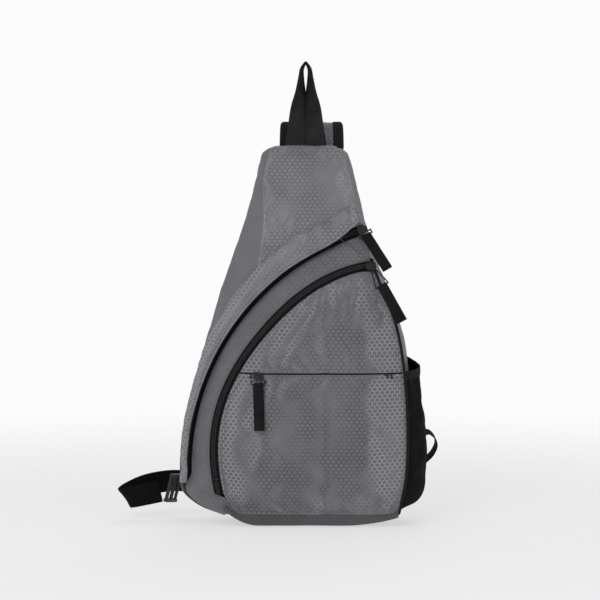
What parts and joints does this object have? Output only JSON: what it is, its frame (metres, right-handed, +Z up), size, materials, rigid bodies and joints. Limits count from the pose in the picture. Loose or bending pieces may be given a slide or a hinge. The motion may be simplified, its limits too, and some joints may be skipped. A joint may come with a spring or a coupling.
{
  "type": "sling bag",
  "caption": "Teardrop sling bag: padded back, hollow main compartment with an arched zip under a storm flap, zipped front pocket, mesh side pocket, grab loop and one padded shoulder strap.",
  "frame": {"origin": "middle of the flat base that the bag stands on", "axes": "+Z up towards the grab loop, -Y the front with the pockets, +Y the wearer's back, +X the side with the mesh pocket"},
  "size_m": [0.3705, 0.1593, 0.5266],
  "materials": {
    "shell_fabric": "satin honeycomb ripstop",
    "back_mesh": "matte spacer mesh",
    "pocket_mesh": "matte open mesh",
    "lining": "matte plain weave",
    "binding": "matte grosgrain",
    "webbing": "matte woven",
    "pull_webbing": "matte woven",
    "zip_tape": "matte woven",
    "zip_coil": "satin",
    "zip_metal": "dark gunmetal",
    "buckle_plastic": "moulded, fine grain",
    "foam": "closed-cell foam"
  },
  "bodies": {
    "bag": {"back_mesh_panel": "back_mesh", "back_foam_pad": "foam", "back_lining": "lining", "left_gusset": "shell_fabric", "right_gusset": "shell_fabric", "bottom_panel": "shell_fabric", "upper_front_panel": "shell_fabric", "storm_flap": "shell_fabric", "mid_panel": "shell_fabric", "front_upper_panel": "shell_fabric", "front_lower_panel": "shell_fabric", "divider_panel": "lining", "slip_pocket_liner": "lining", "main_zip_tape": "zip_tape", "main_zip_coil": "zip_coil", "front_zip_tape": "zip_tape", "front_zip_coil": "zip_coil", "pocket_zip_tape": "zip_tape", "pocket_zip_coil": "zip_coil", "zip_end_stops": "zip_metal", "edge_piping": "binding", "side_mesh_pocket": "pocket_mesh", "side_pocket_binding": "binding", "strap_anchor_patch": "webbing", "corner_anchor_web": "webbing", "strap_root_face": "shell_fabric", "strap_root_foam": "foam", "strap_root_backing": "back_mesh", "strap_root_binding": "binding"},
    "main_slider": {"main_zip_slider": "zip_metal"},
    "main_ring": {"main_pull_ring": "zip_metal"},
    "main_tab": {"main_pull_tab": "pull_webbing"},
    "front_slider": {"front_zip_slider": "zip_metal"},
    "front_ring": {"front_pull_ring": "zip_metal"},
    "front_tab": {"front_pull_tab": "pull_webbing"},
    "pocket_slider": {"pocket_zip_slider": "zip_metal"},
    "pocket_ring": {"pocket_pull_ring": "zip_metal"},
    "pocket_tab": {"pocket_pull_tab": "pull_webbing"},
    "grab_loop": {"grab_loop": "webbing"},
    "side_loop": {"side_loop": "webbing"},
    "shoulder_strap": {"strap_pad_face": "shell_fabric", "strap_pad_foam": "foam", "strap_pad_backing": "back_mesh", "strap_pad_binding": "binding", "strap_webbing": "webbing"},
    "lower_webbing": {"ladder_lock": "buckle_plastic", "webbing_loop": "webbing"}
  },
  "joints": [
    {"name": "main_zip_travel", "type": "hinge", "parent": "bag", "child": "main_slider", "pos_m": [0.149, -0.012, 0.063], "axis": [0, -1, 0], "range_deg": [0, 73.6]},
    {"name": "main_pull_hang", "type": "hinge", "parent": "main_slider", "child": "main_ring", "pos_m": [0.06437, -0.0146, 0.33305], "axis": [0, -1, 0], "range_deg": [-75, 0]},
    {"name": "main_tab_lift", "type": "hinge", "parent": "main_ring", "child": "main_tab", "pos_m": [0.0686, -0.02159, 0.32601], "axis": [-0.8572, 0, -0.515], "range_deg": [0, 85]},
    {"name": "front_zip_travel", "type": "hinge", "parent": "bag", "child": "front_slider", "pos_m": [0.1188, -0.024, 0.0765], "axis": [0, -1, 0], "range_deg": [0, 82.5]},
    {"name": "front_pull_hang", "type": "hinge", "parent": "front_slider", "child": "front_ring", "pos_m": [0.07373, -0.0266, 0.29224], "axis": [0, -1, 0], "range_deg": [-141, 0]},
    {"name": "front_tab_lift", "type": "hinge", "parent": "front_ring", "child": "front_tab", "pos_m": [0.08535, -0.04392, 0.27039], "axis": [-0.8829, 0, -0.4695], "range_deg": [0, 85]},
    {"name": "pocket_zip_travel", "type": "hinge", "parent": "bag", "child": "pocket_slider", "pos_m": [0.018, 0.3735, 0.17], "axis": [0, 0, 1], "range_deg": [0, 18.91]},
    {"name": "pocket_pull_swing", "type": "hinge", "parent": "pocket_slider", "child": "pocket_ring", "pos_m": [-0.05143, -0.04336, 0.17], "axis": [-0.1643, -0.9864, 0], "range_deg": [-60, 60]},
    {"name": "pocket_tab_lift", "type": "hinge", "parent": "pocket_ring", "child": "pocket_tab", "pos_m": [-0.05181, -0.04851, 0.16115], "axis": [-0.9851, 0.1641, -0.0523], "range_deg": [0, 100]},
    {"name": "grab_loop_fold", "type": "hinge", "parent": "bag", "child": "grab_loop", "pos_m": [0.001, 0.036, 0.4316], "axis": [1, 0, 0], "range_deg": [-15, 80]},
    {"name": "strap_swing", "type": "hinge", "parent": "bag", "child": "shoulder_strap", "pos_m": [0.00817, 0.08571, 0.44075], "axis": [1, 0, 0], "range_deg": [0, 35]},
    {"name": "side_loop_swing", "type": "hinge", "parent": "bag", "child": "side_loop", "pos_m": [0.134, 0.048, 0.078], "axis": [0, 0, 1], "range_deg": [-15, 30]},
    {"name": "lock_swing", "type": "hinge", "parent": "bag", "child": "lower_webbing", "pos_m": [-0.14663, 0.03048, 0.03591], "axis": [0.2419, 0, 0.9703], "range_deg": [-4, 35]}
  ],
  "couplings": [
    {"joint": "main_pull_hang", "follows": "main_zip_travel", "ratio": -1},
    {"joint": "front_pull_hang", "follows": "front_zip_travel", "ratio": -1.7}
  ]
}
